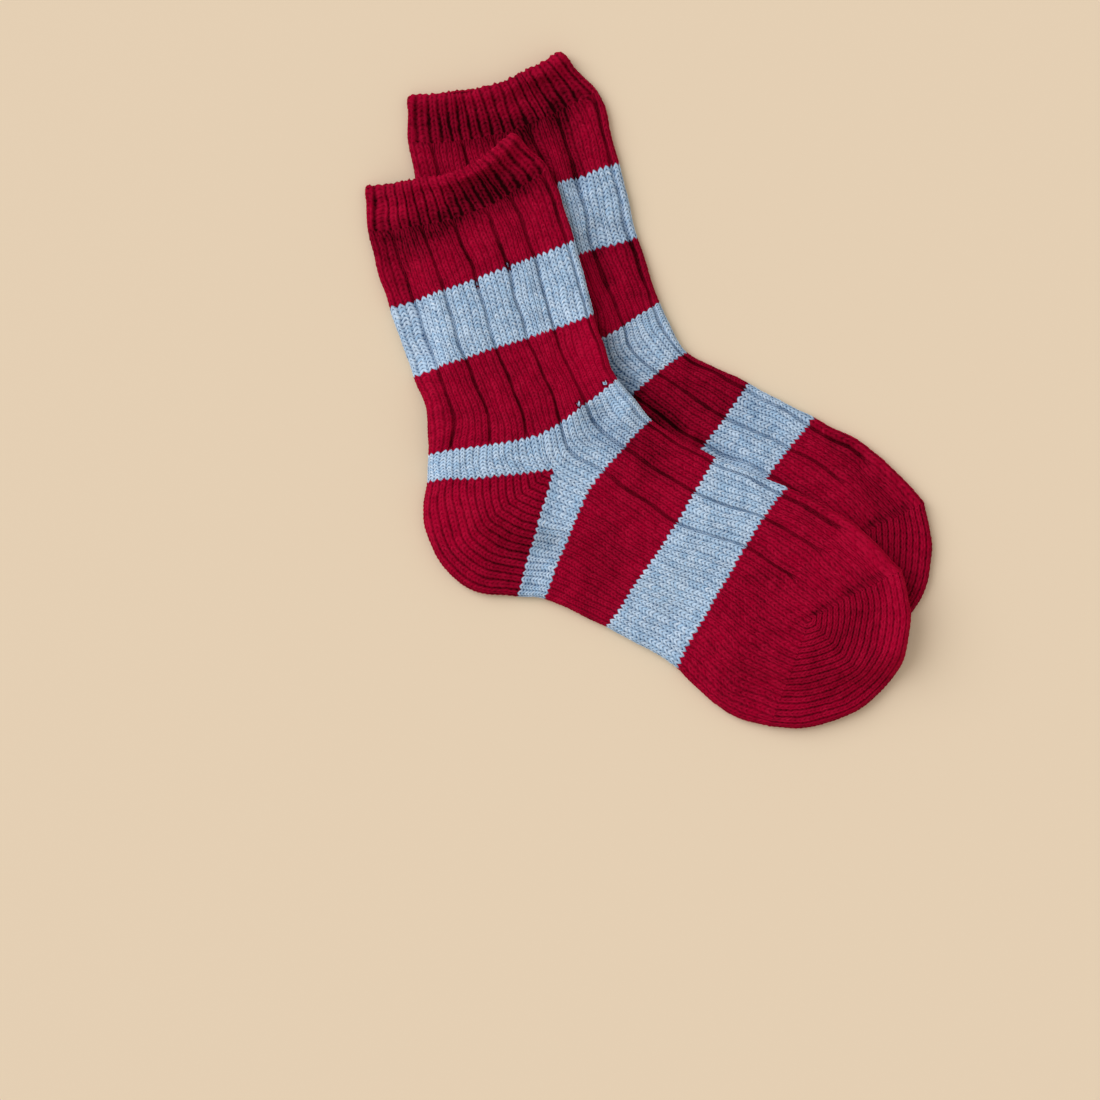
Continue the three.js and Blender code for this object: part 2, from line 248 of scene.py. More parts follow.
def outside(points):
    """Distance outside the lower sock's outline, negative inside it."""
    ends = outline_points(LOWER)
    starts = np.roll(ends, 1, axis=0)
    step = ends - starts
    keep = (step**2).sum(1) > 1e-9
    starts, ends, step = starts[keep], ends[keep], step[keep]
    flat = points.reshape(-1, 2)
    result = np.empty(len(flat))
    for first in range(0, len(flat), POINTS_AT_ONCE):
        part = flat[first:first + POINTS_AT_ONCE, None, :]
        off = part - starts
        t = np.clip((off * step).sum(-1) / (step**2).sum(-1), 0, 1)
        near = np.sqrt(((off - t[..., None] * step) ** 2).sum(-1)).min(1)
        above = (starts[:, 1] > part[..., 1]) != (ends[:, 1] > part[..., 1])
        rise = np.where(np.abs(step[:, 1]) < 1e-12, 1e-12, step[:, 1])
        crossing = starts[:, 0] + step[:, 0] * (part[..., 1] - starts[:, 1]) / rise
        inside = (above & (part[..., 0] < crossing)).sum(1) % 2 == 1
        result[first:first + POINTS_AT_ONCE] = np.where(inside, -near, near)
    return result.reshape(points.shape[:-1])


# the upper sock lies this far off the lower one, comes down to the floor within these
# distances of its outline, and is a little higher along its front fold, between these courses
CLEARANCE = 0.55
DRAPE_START = 4
DRAPE_END = 19
PERCH = 2.2
PERCH_WALES = 9
PERCH_FROM = (10, 25)
PERCH_UNTIL = (84, 102)


def lifted(sock, plan, across, course):
    """How far the upper sock is up, on the lower one, at its cuff and at its front fold."""
    if sock is LOWER:
        return np.zeros(plan.shape[:-1])
    row = turned(sock, plan) + sock["corner"]
    angle = -math.radians(LOWER["turn"])
    back = np.array([[math.cos(angle), math.sin(angle)], [-math.sin(angle), math.cos(angle)]])
    under = (row - LOWER["corner"]) @ back
    support = pocket_height(LOWER, under) + CLEARANCE
    raised = sock["cuff"] * cuff_share(across) * np.clip(1 - course / CUFF_COURSES, 0, 1) ** 2
    perch = PERCH * smooth(*PERCH_FROM, course) * (1 - smooth(*PERCH_UNTIL, course))
    perch = perch * (1 - smooth(0, PERCH_WALES, across))
    return (1 - smooth(DRAPE_START, DRAPE_END, outside(under))) * (support + raised + perch)


def drift(plan, seed, lengths):
    """Slow random waves over the cloth, about -1 to 1, by place in the sock's own plan."""
    draw = np.random.default_rng(seed)
    total = np.zeros(plan.shape[:-1])
    for length in lengths:
        angle, phase = draw.uniform(0, 2 * math.pi, 2)
        away = plan[..., 0] * math.cos(angle) + plan[..., 1] * math.sin(angle)
        total = total + np.sin(2 * math.pi * away / length + phase)
    return total / len(lengths) ** 0.5


# the main creases: where each starts and ends in the sock's own plan, how deep it is,
# or how high with a minus sign, and how wide. under says that it is on the hidden side.
CREASES = {
    "upper": [
        {"from": (-42, 115), "to": (-10, 126), "deep": 1.5, "wide": 5.5, "under": False},
        {"from": (-62, 109), "to": (-42, 108), "deep": 1.0, "wide": 5, "under": False},
        {"from": (-75, 104), "to": (-65, 83), "deep": 1.5, "wide": 6, "under": False},
        {"from": (-77, 121), "to": (-62, 118), "deep": 1.2, "wide": 6, "under": False},
        {"from": (23, 56), "to": (37, 33), "deep": -5.0, "wide": 13, "under": False},
        {"from": (3, 50), "to": (9, 28), "deep": -1.3, "wide": 8, "under": False},
        {"from": (22, 20), "to": (43, 6), "deep": 3.2, "wide": 10, "under": False},
        {"from": (-22, -32), "to": (-18, -50), "deep": 1.5, "wide": 10, "under": False},
        {"from": (-1, -11), "to": (-10, -53), "deep": 1.4, "wide": 7, "under": False},
        {"from": (24, -30), "to": (15, -72), "deep": 1.2, "wide": 8, "under": False},
        {"from": (62, -22), "to": (46, -62), "deep": -0.6, "wide": 9, "under": False},
        {"from": (92, -48), "to": (83, -100), "deep": 1.2, "wide": 9, "under": False},
        {"from": (105, -70), "to": (110, -67), "deep": 0.9, "wide": 2.5, "under": False},
        {"from": (118, -82), "to": (140, -70), "deep": 0.8, "wide": 12, "under": False},
        {"from": (128, -22), "to": (153, -46), "deep": -2.6, "wide": 9, "under": False},
        {"from": (155, -50), "to": (156, -78), "deep": -2.4, "wide": 9, "under": False},
        {"from": (-46, -16), "to": (-38, -24), "deep": -1.5, "wide": 14, "under": False},
        {"from": (-60, 60), "to": (-30, 80), "deep": 0.6, "wide": 9, "under": True},
        {"from": (-20, 20), "to": (10, 40), "deep": 0.6, "wide": 8, "under": True},
        {"from": (60, -40), "to": (90, -80), "deep": 0.7, "wide": 9, "under": True},
    ],
    "lower": [
        {"from": (-40, 131), "to": (-4, 128), "deep": 1.3, "wide": 5, "under": False},
        {"from": (-15, 124), "to": (-6, 90), "deep": 3.0, "wide": 4, "under": False},
        {"from": (-29, 116), "to": (-19, 88), "deep": 2.4, "wide": 4, "under": False},
        {"from": (4, 70), "to": (9, 50), "deep": 2.0, "wide": 5, "under": False},
        {"from": (-74, 118), "to": (-66, 98), "deep": 0.9, "wide": 6, "under": False},
        {"from": (14, 70), "to": (22, 44), "deep": 1.0, "wide": 6, "under": False},
        {"from": (9, 20), "to": (22, -1), "deep": 4.6, "wide": 5, "under": False},
        {"from": (22, -2), "to": (40, -16), "deep": 2.6, "wide": 7, "under": False},
        {"from": (46, 8), "to": (36, -20), "deep": 1.6, "wide": 12, "under": False},
        {"from": (70, 4), "to": (56, -26), "deep": 1.2, "wide": 14, "under": False},
        {"from": (56, 2), "to": (84, -12), "deep": 1.0, "wide": 5, "under": False},
        {"from": (131, -42), "to": (145, -86), "deep": 1.2, "wide": 8, "under": False},
        {"from": (112, -20), "to": (136, -44), "deep": 1.4, "wide": 5, "under": False},
        {"from": (-64, 80), "to": (-40, 100), "deep": 0.6, "wide": 9, "under": True},
        {"from": (-40, -10), "to": (-20, -40), "deep": 0.7, "wide": 8, "under": True},
        {"from": (70, -30), "to": (100, -60), "deep": 0.7, "wide": 9, "under": True},
    ],
}


def crease_depth(sock, plan, under):
    """How far the creases take the cloth in, uneven along each one."""
    total = np.zeros(plan.shape[:-1])
    for crease in CREASES[sock["name"]]:
        if crease["under"] != under:
            continue
        start = np.array(crease["from"], float)
        step = np.array(crease["to"], float) - start
        long = np.hypot(*step)
        off = plan - start
        t = (off @ step) / long**2
        side = (off[..., 1] * step[0] - off[..., 0] * step[1]) / long
        side = side + crease["wide"] * 0.35 * np.sin(2.6 * t + crease["deep"] * 3)
        past = np.maximum(np.abs(t - 0.5) - 0.5, 0) * long
        wide = crease["wide"] * (1 + 0.25 * np.sin(5 * t))
        total = total + crease["deep"] * np.exp(-((side / wide) ** 2) - (past / crease["wide"]) ** 2)
    return total


# unevenness to the side and in height, the dip below the welt, and the most that creases
# and dip take the cloth in, all in mm
SWAY = 0.3
SWELL = 0.3
WAIST_DEPTH = 1.9
WAIST_COURSE = 13.5
WAIST_COURSES = 4.0
DEEPEST = 2.8


def waist(sock, across, course):
    """How far the cloth dips where the leg starts, under the thicker welt."""
    middle = WAIST_COURSE + sock["low"] * smooth(14, 30, across)
    middle = middle + 0.8 * np.sin(across / 3 + sock["seed"])
    depth = WAIST_DEPTH * (0.75 + 0.25 * np.sin(across / 4.3 + 2 * sock["seed"]))
    depth = depth * smooth(0, 4, across) * (1 - 0.6 * smooth(28, 35, across))
    return depth * np.exp(-(((course - middle) / WAIST_COURSES) ** 2))


def layer(sock, plan, wale, across, course, top):
    """Points of the cloth's face in metres, wale being counted from the nearest fold."""
    angle = np.minimum(wale / FOLD_WALES, 1) * math.pi / 2
    height = pocket_height(sock, plan) - FOLD_DROP * (1 - smooth(0, FOLD_REACH, wale))
    gape = np.clip(1 - course / GAPE_COURSES, 0, 1) ** 2
    height = height + sock["gape"] * cuff_share(across) * gape
    dip = crease_depth(sock, plan, False) + waist(sock, across, course)
    height = height - np.where(dip > 0, DEEPEST * np.tanh(dip / DEEPEST), dip)
    height = height + SWELL * drift(plan, sock["seed"], (58, 41, 33, 27))
    reach = np.where(top, height - FOLD_HEIGHT, crease_depth(sock, plan, True) - FOLD_HEIGHT)
    z = FOLD_HEIGHT + reach * np.sin(angle) + lifted(sock, plan, across, course)
    sway = [drift(plan, sock["seed"] + i, (47, 31, 22, 16)) * SWAY for i in (1, 2)]
    flat = turned(sock, plan + np.stack(sway, -1)) + sock["corner"]
    return np.concatenate([flat, z[..., None]], -1) * MM


# how many courses a stitch's legs slant over, how round a wale is, how deep its stitches part
# and how deep the welt's rib is, in mm. The hidden side is pressed flatter.
STITCH_SLANT = 0.9
WALE_RELIEF = 0.36
LEG_RELIEF = 0.36
WELT_DEPTH = 1.0
UNDER_RELIEF = 0.4
# the leg's rib: five knit wales and a sunk one, which draws its neighbours together. Then how
# far the wales lie forward on the leg, wander and spread before the toe, in wales, and each
# stitch's own height in mm, random but the same in every run
RIB_REPEAT = 6
FIRST_PURL = 2
PURL_SQUEEZE = 0.34
WALES_FORWARD = 1.2
WALES_WANDER = 0.14
TOE_SPREAD = 1.0
STITCH_SIZES = np.random.default_rng(21).normal(0, 0.07, (72, 220))


def stitch_edge(wale):
    """0 at the middle of a stitch and 1 where two wales meet."""
    return np.abs(2 * ((wale + 0.5) % 1) - 1)


def stitch_relief(wale, course, depth=WALE_RELIEF):
    """The two slanting legs of each knit stitch, 0 on the crests and less in the gaps."""
    edge = stitch_edge(wale)
    own = STITCH_SIZES[np.floor(wale + 0.5).astype(int) % 72, np.floor(course).astype(int) % 220]
    crest = np.sqrt(np.clip(1 - (0.97 * edge) ** 2, 0, 1)) - 0.5 * np.exp(-((edge / 0.25) ** 2))
    gap = 0.5 + 0.5 * np.cos(2 * math.pi * (course - STITCH_SLANT * edge))
    return depth * (crest - 1) - LEG_RELIEF * gap * (0.6 + 0.4 * edge) + own * (1 - edge)


def from_purl(wale):
    """Signed wales from the nearest sunk purl wale of the 5x1 rib."""
    return (wale - FIRST_PURL + 3) % RIB_REPEAT - 3


def drawn_together(wale):
    """How far a wale is moved, because the rib's purl wales close up between the others."""
    away = from_purl(wale)
    outer = np.sign(away) * (3 - np.abs(away)) / 2.5
    return -PURL_SQUEEZE * np.where(np.abs(away) < 0.5, 2 * away, outer)


def knit_cloth(name, points, relief, knit, stripe, painted_light_and_shade, closed):
    """A mesh from a grid of points, moved out along their normals by the relief in mm.

    knit holds the wale and course of each point, for the yarn's pattern, and stripe the courses to the
    nearest edge of a band, positive inside it. The grid after stripe is painted shade on the yarn: 1
    in the rib's gutters, less in creases, and below 0 a painted highlight over a fold."""
    rows, columns = points.shape[:2]
    if closed:
        wide = np.concatenate([points[:, -2:-1], points, points[:, 1:2]], 1)
        across = (wide[:, 2:] - wide[:, :-2])
    else:
        across = np.gradient(points, axis=1)
    down = np.gradient(points, axis=0)
    normal = np.cross(across, down)
    length = np.linalg.norm(normal, axis=-1, keepdims=True)
    normal = np.where(length > 1e-12, normal / np.maximum(length, 1e-12), (0, 0, 1))
    moved = points + normal * relief[..., None] * MM
    used = columns - 1 if closed else columns
    index = np.arange(rows * used).reshape(rows, used)
    if closed:
        index = np.concatenate([index, index[:, :1]], 1)
    quads = np.stack([index[:-1, :-1], index[:-1, 1:], index[1:, 1:], index[1:, :-1]], -1)
    corner = np.arange(rows * columns).reshape(rows, columns)
    corners = np.stack([corner[:-1, :-1], corner[:-1, 1:], corner[1:, 1:], corner[1:, :-1]], -1)
    mesh = bpy.data.meshes.new(name)
    mesh.from_pydata(moved[:, :used].reshape(-1, 3).tolist(), [], quads.reshape(-1, 4).tolist())
    layer_uv = mesh.uv_layers.new(name="Knit")
    uv = knit.reshape(-1, 2)[corners.reshape(-1)]
    layer_uv.data.foreach_set("uv", uv.astype(np.float32).ravel())
    for attribute, values in (("stripe", stripe), ("painted_light_and_shade", painted_light_and_shade)):
        made = mesh.attributes.new(attribute, "FLOAT", "POINT")
        made.data.foreach_set("value", values[:, :used].astype(np.float32).ravel())
    mesh.shade_smooth()
    piece = bpy.data.objects.new(name, mesh)
    bpy.context.collection.objects.link(piece)
    return piece


def linear(hex_colour):
    """An sRGB hex colour as linear red, green, blue and alpha."""
    parts = [int(hex_colour[i:i + 2], 16) / 255 for i in (1, 3, 5)]
    return [p / 12.92 if p <= 0.04045 else ((p + 0.055) / 1.055) ** 2.4 for p in parts] + [1]


def node(tree, kind, settings=None, inputs=None):
    """Adds a node with its settings, and its inputs as links or values."""
    made = tree.nodes.new("ShaderNode" + kind)
    for name, value in (settings or {}).items():
        setattr(made, name, value)
    for name, value in (inputs or {}).items():
        if isinstance(value, bpy.types.NodeSocket):
            tree.links.new(value, made.inputs[name])
        else:
            made.inputs[name].default_value = value
    return made


# Chunky cotton yarn, spun soft from several plies and dyed before knitting: matt, with a little fuzz
# that lightens its edges, painted shade in a deep colour between the stitches, and pale flecks.
CRIMSON = "#9A0028"
# the deep colours are painted shade, between the stitches, in the gutters and creases and below the
# rim
CRIMSON_PAINTED_SHADE = "#250004"
CRIMSON_FLECK = "#C51A42"
BLUE = "#A1C3E3"
BLUE_PAINTED_SHADE = "#26456C"
BLUE_FLECK = "#E8F3FF"
# the dye's slow unevenness, how the stitches waver, and the plies, which are really about
# 0.3 mm and are drawn coarser to show
HEATHER_MM = 5.0
WAVER_MM = 2.2
PLY_MM = 0.5


def cotton_yarn():
    material = bpy.data.materials.new("chunky_cotton_yarn_crimson_and_light_blue")
    material.use_nodes = True
    tree = material.node_tree
    tree.nodes.clear()

    def maths(operation, first, second=0.0, third=0.0):
        return node(tree, "Math", {"operation": operation}, {0: first, 1: second, 2: third}).outputs[0]

    def step(value, start, end):
        return node(tree, "MapRange", {"interpolation_type": "SMOOTHSTEP"}, {
            "Value": value, "From Min": start, "From Max": end,
        }).outputs["Result"]

    place = node(tree, "TexCoord").outputs["Object"]
    stripe = node(tree, "Attribute", {"attribute_name": "stripe"}).outputs["Fac"]
    # painted shade from the mesh, in gutters, creases and below the rim, and painted highlight over
    # folds
    gutter = node(tree, "Attribute", {"attribute_name": "painted_light_and_shade"}).outputs["Fac"]
    waver = node(tree, "TexNoise", {}, {
        "Vector": place, "Scale": 1 / (WAVER_MM * MM), "Detail": 2.0, "Roughness": 0.6,
    }).outputs["Fac"]
    heather = step(node(tree, "TexNoise", {}, {
        "Vector": place, "Scale": 1 / (HEATHER_MM * MM), "Detail": 2.0, "Roughness": 0.6,
    }).outputs["Fac"], 0.4, 0.65)
    ply = node(tree, "TexNoise", {}, {
        "Vector": place, "Scale": 1 / (PLY_MM * MM), "Detail": 2.0, "Roughness": 0.6,
    }).outputs["Fac"]
    stitches = node(tree, "UVMap", {"uv_map": "Knit"}).outputs["UV"]
    knit = node(tree, "SeparateXYZ", {}, {"Vector": stitches})
    shift = maths("MULTIPLY_ADD", waver, 0.5, -0.25)
    wale = maths("ADD", knit.outputs["X"], shift)
    course = maths("ADD", knit.outputs["Y"], shift)

    # each stitch is two legs that meet in a V: edge is 0 in its middle and 1 between wales
    middle = maths("ADD", wale, 0.5)
    edge = maths("ABSOLUTE", maths("MULTIPLY_ADD", maths("FRACT", middle), 2.0, -1.0))
    phase = maths("SUBTRACT", course, maths("MULTIPLY", edge, STITCH_SLANT))
    between = maths("ABSOLUTE", maths("MULTIPLY_ADD", maths("FRACT", phase), 2.0, -1.0))
    gap = step(between, 0.45, 1.0)
    side = step(edge, 0.5, 1.0)
    centre = step(edge, 0.4, 0.0)
    ends = maths("MULTIPLY", gap, maths("MULTIPLY_ADD", maths("MAXIMUM", centre, side), 0.6, 0.4))
    stitch = node(tree, "CombineXYZ", {}, {"X": maths("FLOOR", middle), "Y": maths("FLOOR", phase)})
    own = node(tree, "TexWhiteNoise", {"noise_dimensions": "2D"}, {
        "Vector": stitch.outputs["Vector"],
    }).outputs["Value"]
    strands = node(tree, "CombineXYZ", {}, {
        "X": maths("MULTIPLY", wale, 1.3), "Y": maths("MULTIPLY", phase, 3.2), "Z": own,
    })
    marl = node(tree, "TexNoise", {}, {
        "Vector": strands.outputs["Vector"], "Scale": 1.0, "Detail": 2.0, "Roughness": 0.55,
    }).outputs["Fac"]
    pale = maths("MAXIMUM", step(marl, 0.5, 0.75), step(ply, 0.58, 0.75))
    in_band = step(stripe, -0.1, 0.1)

    # shares of the pale flecks, and of the painted shade between wales, in the middle of a stitch, in
    # the gaps between stitches and in the gutters
    def yarn(base, dark, light, flecks, lines, halves, holes, gutters):
        line = maths("MAXIMUM", maths("MULTIPLY", side, lines), maths("MULTIPLY", centre, halves))
        hole = maths("ADD", line, maths("MULTIPLY", ends, holes))
        hole = maths("MULTIPLY_ADD", heather, 0.16, hole)
        share = maths("MULTIPLY", maths("MAXIMUM", pale, maths("MULTIPLY", own, 0.45)), flecks)
        flecked = node(tree, "Mix", {"data_type": "RGBA"}, {
            "A": linear(base), "B": linear(light), "Factor": share,
        })
        # painted shade: the mesh's share and the share between stitches mix the yarn towards its deep
        # colour
        dark_share = maths("MULTIPLY_ADD", gutter, gutters, hole)
        deep = node(tree, "Clamp", {}, {"Value": dark_share}).outputs["Result"]
        return node(tree, "Mix", {"data_type": "RGBA"}, {
            "A": flecked.outputs["Result"], "B": linear(dark), "Factor": deep,
        }).outputs["Result"]

    red = yarn(CRIMSON, CRIMSON_PAINTED_SHADE, CRIMSON_FLECK, 0.6, 0.42, 0.26, 0.2, 0.6)
    blue = yarn(BLUE, BLUE_PAINTED_SHADE, BLUE_FLECK, 1.0, 0.34, 0.15, 0.72, 0.34)
    colour = node(tree, "Mix", {"data_type": "RGBA"}, {"A": red, "B": blue, "Factor": in_band})
    relief = maths("SUBTRACT", maths("MULTIPLY", ply, 0.6), maths("MAXIMUM", side, ends))
    bump = node(tree, "Bump", {}, {"Height": relief, "Strength": 0.6, "Distance": 0.4 * MM})
    shader = node(tree, "BsdfPrincipled", {}, {
        "Base Color": colour.outputs["Result"], "Normal": bump.outputs["Normal"],
        "Roughness": 0.95, "Specular IOR Level": 0.04, "Sheen Weight": 0.5, "Sheen Roughness": 0.5,
        "Sheen Tint": colour.outputs["Result"],
    })
    node(tree, "OutputMaterial", {}, {"Surface": shader.outputs["BSDF"]})
    return material


yarn_material = cotton_yarn()


def finish_piece(piece, sock):
    piece.data.materials.append(yarn_material)
    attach(piece, "root")
    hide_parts("sock_" + sock["name"])
    return piece


# how much shade is painted into a crease and how much highlight onto a fold, for each mm, and how fine
# the mesh is: points for each wale on both sides, and rows for each course
DENT_SHADE = 0.17
FOLD_SHEEN = 0.16
FINE_COLUMNS = 6
UNDER_COLUMNS = 2
ROWS_A_COURSE = 3


def round_columns():
    """Wales round the tube, closer together on the side that shows."""
    top = np.arange(0, WALES_SHOWN * FINE_COLUMNS) / FINE_COLUMNS
    under = WALES_SHOWN + np.arange(0, WALES_SHOWN * UNDER_COLUMNS + 1) / UNDER_COLUMNS
    return np.concatenate([top, under])


def dent_shade(sock, plan):
    """How much shade is painted on the cloth down in a crease, and how much highlight over a fold."""
    depth = np.clip(crease_depth(sock, plan, False), -3, 5)
    return np.where(depth > 0, DENT_SHADE, FOLD_SHEEN) * depth


def tube_points(sock, rows, wale, course, ribbed):
    """Points of the tube. ribbed is 1 where the 5x1 rib draws its wales together."""
    fold = np.minimum(wale % WALES_SHOWN, WALES_SHOWN - wale % WALES_SHOWN)
    wale = wale + drawn_together(wale) * ribbed * smooth(0, 1.5, fold)
    forward = smooth(8, 13, wale) * (1 - smooth(32, 36, wale)) * (1 - smooth(58, 74, course))
    wander = np.sin(2.1 * wale + 0.3 * course) * np.sin(0.9 * wale - 0.21 * course + sock["seed"])
    wale = wale - WALES_FORWARD * forward + WALES_WANDER * wander * smooth(0, 2, fold)
    spread = smooth(116, 130, course) * smooth(0, 1, wale) * np.exp(-(((wale - 2.5) / 2.5) ** 2))
    wale = wale + TOE_SPREAD * spread
    top = wale <= WALES_SHOWN
    across = np.where(top, wale, WALES_ROUND - wale)
    plan = tube_plan(sock, rows, across, course)
    points = layer(sock, plan, np.minimum(across, WALES_SHOWN - across), across, course, top)
    # with the painted shade of creases and painted highlight of folds, on the side that shows
    return points, dent_shade(sock, plan) * top


def welt_relief(wale, course):
    """Round ridges of the 1x1 rib, one on every second wale."""
    return stitch_relief((wale - 1) / 2, course, WELT_DEPTH)


# the course round which shade is painted on the welt below the rim, and over how many courses
SHADE_BELOW_RIM_COURSE = 9.5
SHADE_BELOW_RIM_COURSES = 4.6


def welt_shade(sock, wale, course):
    """How much shade is painted on the welt below the rim, where it draws in."""
    middle = SHADE_BELOW_RIM_COURSE + sock["low"] * smooth(12, 26, wale)
    middle = middle + 1.2 * np.sin(wale / 5 + sock["seed"])
    ends = (0.55 + 0.45 * smooth(2, 9, wale)) * (1 - 0.5 * smooth(28, 35, wale))
    return ends * np.exp(-(((course - middle) / SHADE_BELOW_RIM_COURSES) ** 2))


# the rim's turn in mm, the lip behind it and the dip under that, and the course to which
# the cloth goes on inside
RIM_COURSE = 0.7
RIM_ROUND = 1.45
RIM_LIP = {"high": 2.0, "at": 2.2, "wide": 1.6}
RIM_DIP = {"high": -1.3, "at": 6.0, "wide": 2.4}
ROLLED_RELIEF = 0.3
WELT_INSIDE = 10
INSIDE_ROWS = 12
ROLL_STEPS = 9
for sock in SOCKS:
    wales = round_columns()
    outer = np.linspace(WELT_COURSE, RIM_COURSE, (WELT_COURSE - 1) * ROWS_A_COURSE + 2)
    inner = np.linspace(RIM_COURSE, WELT_INSIDE, INSIDE_ROWS)
    row = np.concatenate([outer, np.full(ROLL_STEPS, RIM_COURSE), inner])
    wale, row = np.meshgrid(wales, row)
    points, crease_shade_and_fold_highlight = tube_points(sock, LEG, wale, row, 0 * wale)
    below = tube_points(sock, LEG, wale, row + 0.3, 0 * wale)[0]
    up = (points - below) / np.linalg.norm(points - below, axis=-1, keepdims=True)
    beside = np.roll(points[:, :-1], -1, 1) - np.roll(points[:, :-1], 1, 1)
    beside = np.concatenate([beside, beside[:, :1]], 1)
    out = np.cross(up, beside)
    out = out / np.linalg.norm(out, axis=-1, keepdims=True)
    half_turn = np.linspace(0, math.pi, ROLL_STEPS)
    turn = np.concatenate([outer * 0, half_turn, inner * 0 + math.pi])[:, None]
    uneven_rim = 0.35 * np.sin(wale * 2.9) * np.sin(wale * 0.7 + sock["seed"])
    uneven_rim = uneven_rim + 0.25 * np.sin(wale * 5.3)
    round_mm = RIM_ROUND + uneven_rim * np.sin(turn)
    lip = 0
    for wave in (RIM_LIP, RIM_DIP):
        lip = lip + wave["high"] * np.exp(-(((row - wave["at"]) / wave["wide"]) ** 2))
    lip = lip * (0.45 + 0.75 * cuff_share(wale)) * (1 + np.cos(turn)) / 2
    lip = lip * smooth(-1, 2, wale) * (1 - smooth(34, 37, wale))
    roll = out * (round_mm * (np.cos(turn) - 1) + lip)[..., None]
    roll = roll + up * (round_mm * np.sin(turn))[..., None]
    points = points + roll * MM
    rolled = smooth(4.2, RIM_COURSE, row) * 0.7
    relief = welt_relief(wale, row) * np.where(turn > 0, ROLLED_RELIEF, 1 - rolled)
    relief = np.where(turn >= math.pi, 0, relief) * np.where(wale <= WALES_SHOWN, 1, UNDER_RELIEF)
    # painted shade below the rim and in the gaps between ribs, plus the creases' painted shade and the
    # folds' painted highlight
    gap = smooth(0.4, 0.95, np.abs(wale % 2 - 1))
    shade_below_rim = welt_shade(sock, wale, row) * (0.65 + 0.35 * gap)
    painted_light_and_shade = np.maximum(shade_below_rim, 0.5 * gap * (1 - rolled)) * (turn == 0) + crease_shade_and_fold_highlight
    knit = np.stack([(wale - 1) / 2, row - turn * 0.8], -1)
    piece = knit_cloth("welt_" + sock["name"], points[::-1], relief[::-1], knit[::-1],
                       np.full(wale.shape, -9.0), painted_light_and_shade[::-1], closed=True)
    finish_piece(piece, sock)


# Leg: the ribbed tube from the welt to the heel, five knit wales to each sunk purl
# wale, 12 ribs round. One light-blue band, and the top of the ankle's band, where the back
# of the rib ends. The courses below are where bands start and end.
PAST_THE_LEG = 200
LEG_BANDS = [(26, 44), (68, PAST_THE_LEG)]
BACK_RIB_END = 68
# how deep the sunk wales lie and how high the panels between them swell, in mm
GUTTER_DEPTH = 1.1
PANEL_CROWN = 0.8


def tube_grid(first, last):
    """Wales and courses of a stretch of the tube, its rows slanting with the stitches."""
    wales = round_columns()
    rows = np.linspace(first, last, int((last - first) * ROWS_A_COURSE) + 1)
    wale, row = np.meshgrid(wales, rows)
    fade = np.minimum(np.minimum(row - first, last - row) / 3, 1)
    return wale, row + STITCH_SLANT * stitch_edge(wale) * fade


def bands(phase, edges):
    """Courses to the nearest edge of a band of the second colour, positive inside one."""
    nearest = np.full(phase.shape, -9.0)
    for start, end in edges:
        nearest = np.maximum(nearest, np.minimum(phase - start, end - phase))
    return nearest


def rib_share(wale, course, end):
    """How much of the rib's gutter shows here: about 1 along its middle, uneven on the way."""
    slow = 0.2 * np.sin(course / 6.1 + 1.7 * (wale // RIB_REPEAT))
    slow = slow + 0.12 * np.sin(course / 2.3 + wale // 3)
    tuck = 0.25 * np.exp(-(((course - end + 2) / 1.6) ** 2))
    fade = 1 - smooth(end - 1.5, end + 1.5, course)
    away = np.abs(from_purl(wale))
    across = 0.75 - 0.75 * smooth(0.1, 0.85, away) + 0.25 * np.exp(-((away / 1.3) ** 2))
    return across * fade * (0.85 + slow + tuck)


def rib_relief(wale, course, end):
    """Gutters of the 5x1 rib and the rounded panels between them."""
    bulge = np.clip(np.abs(from_purl(wale)) / 3, 0, 1) ** 0.6 - 1
    fade = 1 - smooth(end - 1.5, end + 1.5, course)
    return -GUTTER_DEPTH * rib_share(wale, course, end) + PANEL_CROWN * bulge * fade


# loose stitches of the upper sock, each a small hole with blue yarn in it: wale and course
STRAY_STITCHES = [(20, 27.3), (14, 25.6), (3.6, 66.2), (9.4, 66.6)]


def loosened(wale, phase, stripe):
    """The bands' stripe with the loose stitches in it, and how much shade is painted in their holes.
    """
    hole = 0 * wale
    for loose_wale, loose_course in STRAY_STITCHES:
        beside = np.abs(wale - loose_wale)
        away = np.abs(phase - loose_course)
        stripe = np.where((beside < 0.6) & (away < 1.2), -1, stripe)
        stripe = np.where((beside < 0.3) & (away < 0.6), 1, stripe)
        # painted shade in each hole on the red yarn
        hole = np.maximum(hole, 0.8 * (beside < 0.7) * (away < 1.2) * (stripe < 0))
    return stripe, hole


